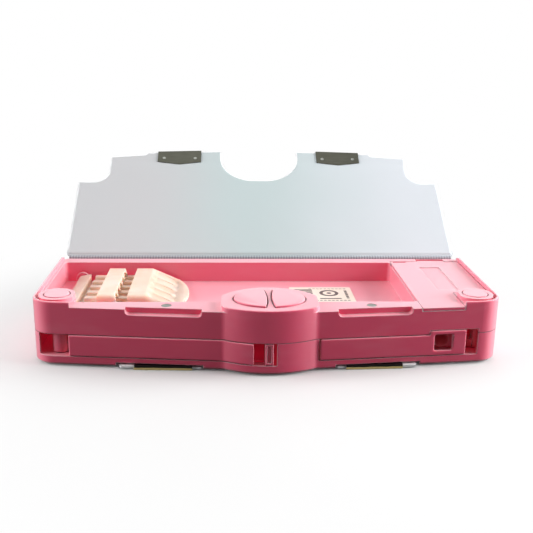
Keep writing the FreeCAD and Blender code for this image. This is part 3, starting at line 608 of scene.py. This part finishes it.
def doubleSheet(name, outline, points, height, weld):
    # two skins over one plan, joined along the outline
    rim = len(outline)
    edges = [(i, (i + 1) % rim) for i in range(rim)]
    flat = [Vector((float(x), float(y))) for x, y in points]
    verts, _, faces, *_ = delaunay_2d_cdt(flat, edges, [], 1, 1e-6)
    plan = np.array([tuple(v) for v in verts])
    top, bottom = height(plan)
    white = weld(plan)
    bm = bmesh.new()
    layer = bm.verts.layers.float.new("weld")
    skins = []
    for level in (bottom, top):
        row = [bm.verts.new((x * mm, y * mm, z * mm)) for (x, y), z in zip(plan, level)]
        for v, w in zip(row, white):
            v[layer] = w
        skins.append(row)
    used = {}
    for face in faces:
        bm.faces.new([skins[1][i] for i in face])
        bm.faces.new([skins[0][i] for i in reversed(face)])
        for i, j in zip(face, list(face[1:]) + [face[0]]):
            used[(i, j)] = True
    for i, j in used:
        if (j, i) not in used:  # an edge with a face on one side only lies on the rim
            bm.faces.new([skins[1][j], skins[1][i], skins[0][i], skins[0][j]])
    bmesh.ops.recalc_face_normals(bm, faces=bm.faces)
    mesh = bpy.data.meshes.new(name)
    bm.to_mesh(mesh)
    bm.free()
    shaded(mesh, 50)
    return mesh


def smooth(value, low, high):
    t = np.clip((value - low) / (high - low), 0, 1)
    return t * t * (3 - 2 * t)


def lidOutline(s):
    def tabEdge(u):
        return s["tabV"] + (s["tipV"] - s["tabV"]) * (s["tabU"] - u) / (s["tabU"] - s["middleU"])

    tabEnd = s["tabInU"] - s["tabStep"]
    right = [
        (s["half"], s["start"], s["backR"]), (s["half"], s["notchV"], s["cornerR"]),
        (s["notchU"], s["notchV"], s["notchR"]), (s["notchU"], s["edgeV"], s["cornerR"]),
        (s["edgeInU"], s["edgeInV"], 0), (s["tabU"], s["tabV"] + s["tabOut"], 0),
        (s["tabInU"], tabEdge(s["tabInU"]) + s["tabOut"], 0), (tabEnd, tabEdge(tabEnd), 0),
        (s["middleU"], s["tipV"], s["cornerR"]), (s["middleU"], s["middleV"], s["middleR"]),
    ]
    corners = right + [(-u, v, r) for u, v, r in reversed(right)]
    return roundedOutline([(u, -v, r) for u, v, r in corners], s["step"])


def lidMesh(name, s):
    outline = lidOutline(s)
    points = sheetPoints(outline, s["rings"], s["spacing"])

    def height(plan):
        inside = np.abs(insideDistance(plan, outline))
        u, v = plan[:, 0], -plan[:, 1]
        middle = (s["inner"] + s["outer"]) / 2
        half = s["rim"] + (s["full"] - s["rim"]) * smooth(inside, 0.5, 1.4)
        thin = smooth(v, s["clipV"] - s["clipRun"], s["clipV"])
        half = half * (1 - thin) + np.minimum(half, s["clipSunk"]) * thin
        wave = s["wave"] * np.sin(u * 0.11 + 0.6) * np.sin(v * 0.09 + 1.1)
        wave += s["ripple"] * np.sin(u * 0.31 + v * 0.23)
        wave *= smooth(inside, 2, 6)
        return middle + half + wave, middle - half + wave

    def weld(plan):
        inside = np.abs(insideDistance(plan, outline))
        rim = (1 - smooth(inside, 0.5, 0.95)) * smooth(-plan[:, 1], 4, 8)
        return np.maximum(rim, smooth(-plan[:, 1], s["tabV"] - 3, s["tabV"] - 1) * (s["tabOut"] > 0))

    return doubleSheet(name, outline, points, height, weld)


axisTop = Vector(jointOf["top_lid_hinge"]["pos_m"])
axisBottom = Vector(jointOf["bottom_lid_hinge"]["pos_m"])
openTurn = -jointOf["top_lid_hinge"]["range_deg"][0]  # from shut to the frame's own pose
topPlace = Matrix.Translation(axisTop) @ Matrix.Rotation(math.radians(openTurn), 4, Vector((-1, 0, 0)))
bottomPlace = Matrix.Translation(axisBottom) @ Matrix.Diagonal((1, 1, -1, 1))

topMesh = lidMesh("topLidSkin", lidSize)
topMesh.transform(topPlace)
topLid = piece("topLidSkin", topMesh, vinyl, "top_lid")
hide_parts("top_lid_cover")
bottomMesh = lidMesh("bottomLidSkin", bottomSize)
bottomMesh.transform(bottomPlace)
bottomMesh.flip_normals()
bottomLid = piece("bottomLidSkin", bottomMesh, vinyl, "bottom_lid")
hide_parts("bottom_lid_cover")
print("lids welded")

stripSize = {
    "half": 110.0, "thick": 0.6, "columns": 283, "dot": -0.75, "between": -0.2,
    "wall": (3.2, 2.2, 1.4, 0.9, 0.5, 0.2),  # distances along the back wall
    "lid": ((0.3, 0.05), (0.7, 0.2), (1.2, 0.4), (1.75, 0.7)),  # distances along and into the lid
}


def hingeStrip(name, s, place, wallWay):
    # thin vinyl band: down the back wall, round the hinge line, into the lid edge
    hingePoint = place @ Vector((0, 0, 0))
    line = [hingePoint + Vector((0, 0, wallWay * d * mm)) for d in s["wall"]]
    line += [place @ (Vector((0, -v, w)) * mm) for v, w in s["lid"]]
    bm = bmesh.new()
    layer = bm.verts.layers.float.new("weld")
    columns = []
    for k, u in enumerate(np.linspace(-s["half"], s["half"], s["columns"])):
        ring = []
        for side in (-1, 1):
            for i in range(len(line)):
                before = line[max(i - 1, 0)]
                after = line[min(i + 1, len(line) - 1)]
                way = (after - before).normalized()
                out = Vector((0, -way.z, way.y))
                p = line[i] + out * side * s["thick"] / 2 * mm
                ring.append(bm.verts.new((u * mm, p.y, p.z)))
                ring[-1][layer] = s["dot"] if k % 2 else s["between"]
        n = len(line)
        columns.append(ring[:n] + ring[n:][::-1])
    for a, b in zip(columns, columns[1:]):
        for i in range(len(a)):
            j = (i + 1) % len(a)
            bm.faces.new((a[i], a[j], b[j], b[i]))
    bm.faces.new(columns[0])
    bm.faces.new(columns[-1][::-1])
    bmesh.ops.recalc_face_normals(bm, faces=bm.faces)
    mesh = bpy.data.meshes.new(name)
    bm.to_mesh(mesh)
    bm.free()
    shaded(mesh, 40)
    return mesh


topBand = hingeStrip("topHingeBand", stripSize, topPlace, -1)
topStrip = piece("topHingeBand", topBand, vinyl, None)
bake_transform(topStrip)
bottomBand = hingeStrip("bottomHingeBand", stripSize, bottomPlace, 1)
bottomStrip = piece("bottomHingeBand", bottomBand, vinyl, None)
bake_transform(bottomStrip)

spineLow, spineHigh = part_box("back_spine")
spineSize = {
    "half": measured(spineHigh.x), "low": measured(spineLow.z), "high": measured(spineHigh.z),
    "back": measured(spineLow.y), "corner": 1.2,
    "thin": 0.35, "bead": 0.2, "pad": 0.4, "rings": (0.4, 0.9, 1.5, 2.2), "spacing": 4.0, "step": 1.5,
}


def spineMesh(s):
    corners = [(s["half"], s["low"]), (s["half"], s["high"]), (-s["half"], s["high"]), (-s["half"], s["low"])]
    outline = roundedOutline([(x, z, s["corner"]) for x, z in corners], s["step"])
    points = sheetPoints(outline, s["rings"], s["spacing"])

    def height(plan):
        inside = np.abs(insideDistance(plan, outline))
        bead = smooth(inside, 0.1, 0.5) * (1 - smooth(inside, 0.9, 1.4))
        rise = s["thin"] + s["bead"] * bead + s["pad"] * smooth(inside, 1.4, 2.4)
        return rise, np.zeros(len(plan))

    def weld(plan):
        return 1 - smooth(np.abs(insideDistance(plan, outline)), 0.9, 1.5)

    mesh = doubleSheet("backSpineSkin", outline, points, height, weld)
    mesh.transform(Matrix(((1, 0, 0, 0), (0, 0, 1, s["back"] * mm), (0, 1, 0, 0), (0, 0, 0, 1))))
    mesh.flip_normals()
    return mesh


spine = piece("backSpineSkin", spineMesh(spineSize), vinyl, "case")
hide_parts("back_spine")
print("spine and hinge bands laid")

labelSize = {
    "corner": 1.0, "thick": 0.16, "above": 0.02, "curl": 0.35, "curlReach": 0.16,
    "rings": (0.3, 0.8), "spacing": 2.0, "step": 0.8,
}


def labelMesh(s):
    low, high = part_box("name_label")
    x0, y0, x1, y1 = low.x / mm, low.y / mm, high.x / mm, high.y / mm
    corners = ((x1, y0), (x1, y1), (x0, y1), (x0, y0))
    outline = roundedOutline([(x, y, s["corner"]) for x, y in corners], s["step"])
    points = sheetPoints(outline, s["rings"], s["spacing"])

    def height(plan):
        reach = np.hypot((plan[:, 0] - x0) / (x1 - x0) - 1, (plan[:, 1] - y0) / (y1 - y0))
        lift = low.z / mm + s["above"] + s["curl"] * np.clip(s["curlReach"] - reach, 0, 1) / s["curlReach"]
        return lift + s["thick"], lift

    return doubleSheet("nameSticker", outline, points, height, lambda plan: np.zeros(len(plan)))


sticker = piece("nameSticker", labelMesh(labelSize), paper, "case")
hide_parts("name_label")

dimpleSize = {
    "at": ((40.6, 81.2), (60.2, 81.2)), "r": 1.25, "rise": 0.06, "lip": 0.02, "root": -0.1,
    "rings": (1.0, 0.82, 0.55, 0.28), "sides": 20,
}


def dimpleMesh(name, s, place):
    # low rivet heads pressed into the clips
    bm = bmesh.new()
    turns = np.linspace(0, 2 * math.pi, s["sides"], endpoint=False)
    for side in (-1, 1):
        for u, v in s["at"]:
            rings = []
            for k, share in enumerate(s["rings"]):
                rise = s["rise"] * math.sqrt(max(0, 1 - share ** 2)) + (s["lip"] if k else s["root"])
                r, z = s["r"] * share, lidSize["inner"] - rise
                ring = [(side * u + r * math.cos(a), -v + r * math.sin(a)) for a in turns]
                rings.append([bm.verts.new((x * mm, y * mm, z * mm)) for x, y in ring])
            for a, b in zip(rings, rings[1:]):
                for i in range(s["sides"]):
                    j = (i + 1) % s["sides"]
                    bm.faces.new((a[i], b[i], b[j], a[j]))
            bm.faces.new(rings[-1])
            bm.faces.new(rings[0][::-1])
    bmesh.ops.recalc_face_normals(bm, faces=bm.faces)
    mesh = bpy.data.meshes.new(name)
    bm.to_mesh(mesh)
    bm.free()
    mesh.transform(place)
    shaded(mesh, 40)
    return mesh


rivets = dimpleMesh("topClipRivets", dimpleSize, topPlace)
piece("topClipRivets", rivets, magnetSteel, "top_lid")
print("sticker and clip rivets set")

floorLook = {
    "bounce": 0.14, "seen": 0.56, "gloss": 0.06, "glow": 0.04, "dim": 0.2, "mottle": 0.02,
    "near": 0.085, "far": 0.23, "size": 6.0, "below": 0.05,
}


def rayIs(f, kind):
    return f.add("ShaderNodeLightPath", out="Is " + kind + " Ray")


def floorFinish(look):
    f = Finish("pale floor")
    seen = (rayIs(f, "Camera") + rayIs(f, "Transmission") + rayIs(f, "Glossy") * look["gloss"]).clamped(0, 1)
    shade = look["bounce"] + seen * look["seen"] + f.noise(60, 3) * look["mottle"]
    board = f.add("ShaderNodeBsdfPrincipled", None, {
        "Base Color": f.grey(shade), "Roughness": 1.0, "Specular IOR Level": 0.0,
        "Emission Color": f.grey(seen * look["glow"]), "Emission Strength": 1.0,
    })
    bright = f.grey(look["dim"] + seen * (1 - look["dim"]))
    white = f.add("ShaderNodeEmission", None, {"Color": bright, "Strength": 1.0})
    reach = (f.axis("X") ** 2 + f.axis("Y") ** 2) ** 0.5
    return f.output("Material", f.blended(reach.ramp(look["near"], look["far"]), board, white))


def floorMesh(size):
    bm = bmesh.new()
    bmesh.ops.create_grid(bm, x_segments=8, y_segments=8, size=size)
    mesh = bpy.data.meshes.new("paleFloor")
    bm.to_mesh(mesh)
    bm.free()
    return mesh


floor = bpy.data.objects.new("paleFloor", floorMesh(floorLook["size"]))
floor.data.materials.append(floorFinish(floorLook))
floor.location.z = -floorLook["below"] * mm
scene.collection.objects.link(floor)

worldLook = {"front": 0.05, "back": 0.7, "gloss": 1.0, "from": -0.05, "to": 0.55}


def studioWorld(look):
    # brighter behind the box than in front of it
    f = Finish("soft studio", bpy.data.worlds.new("soft studio"))
    way = f.add("ShaderNodeTexCoord", out="Generated")
    depth = f.add("ShaderNodeSeparateXYZ", None, {0: way}, "Y").ramp(look["from"], look["to"])

    def sky(strength):
        return f.add("ShaderNodeBackground", None, {"Color": (1, 1, 1, 1), "Strength": strength})

    behind = f.blended(rayIs(f, "Glossy"), sky(look["back"]), sky(look["gloss"]))
    around = f.blended(depth, sky(look["front"]), behind)
    seen = (rayIs(f, "Camera") + rayIs(f, "Transmission")).clamped(0, 1)
    return f.output("World", f.blended(seen, around, sky(1.0)))


scene.world = studioWorld(worldLook)

lamps = {  # place, target, size, power, and whether glossy surfaces mirror it
    "overheadPanel": ((-0.05, -0.03, 0.9), (0, 0, 0.02), 0.8, 2.3, True),
    "rightPanel": ((0.93, -0.04, 0.3), (0.05, 0, 0.02), 0.6, 19.0, False),
    "leftPanel": ((-0.93, -0.04, 0.3), (-0.05, 0, 0.02), 0.6, 11.0, False),
}
for name, (at, target, size, power, mirrored) in lamps.items():
    data = bpy.data.lights.new(name, "AREA")
    data.energy = power
    data.size = size
    lamp = bpy.data.objects.new(name, data)
    lamp.location = at
    lamp.visible_glossy = mirrored
    lamp.rotation_mode = "QUATERNION"
    lamp.rotation_quaternion = (Vector(target) - Vector(at)).to_track_quat("-Z", "Y")
    scene.collection.objects.link(lamp)

shot = {
    "at": (-20.25, -394.12, 153.66), "yaw": 2.96, "pitch": 16.33, "roll": 0.87,
    "lens": 53.62, "sensor": 36, "near": 10,
}


def placeCamera(s):
    yaw, pitch, roll = (math.radians(s[k]) for k in ("yaw", "pitch", "roll"))
    ahead = Vector((math.sin(yaw) * math.cos(pitch), math.cos(yaw) * math.cos(pitch), -math.sin(pitch)))
    level = ahead.cross(Vector((0, 0, 1))).normalized()
    above = level.cross(ahead)
    right = level * math.cos(roll) + above * math.sin(roll)
    top = above * math.cos(roll) - level * math.sin(roll)
    data = bpy.data.cameras.new("photoCamera")
    data.lens = s["lens"]
    data.sensor_width = s["sensor"]
    data.clip_start = s["near"] * mm
    camera = bpy.data.objects.new("photoCamera", data)
    turn = Matrix((right, top, -ahead)).transposed().to_4x4()
    camera.matrix_world = Matrix.Translation(Vector(s["at"]) * mm) @ turn
    scene.collection.objects.link(camera)
    scene.camera = camera


placeCamera(shot)
scene.view_settings.view_transform = "Standard"
print("stage, lamps and camera set")
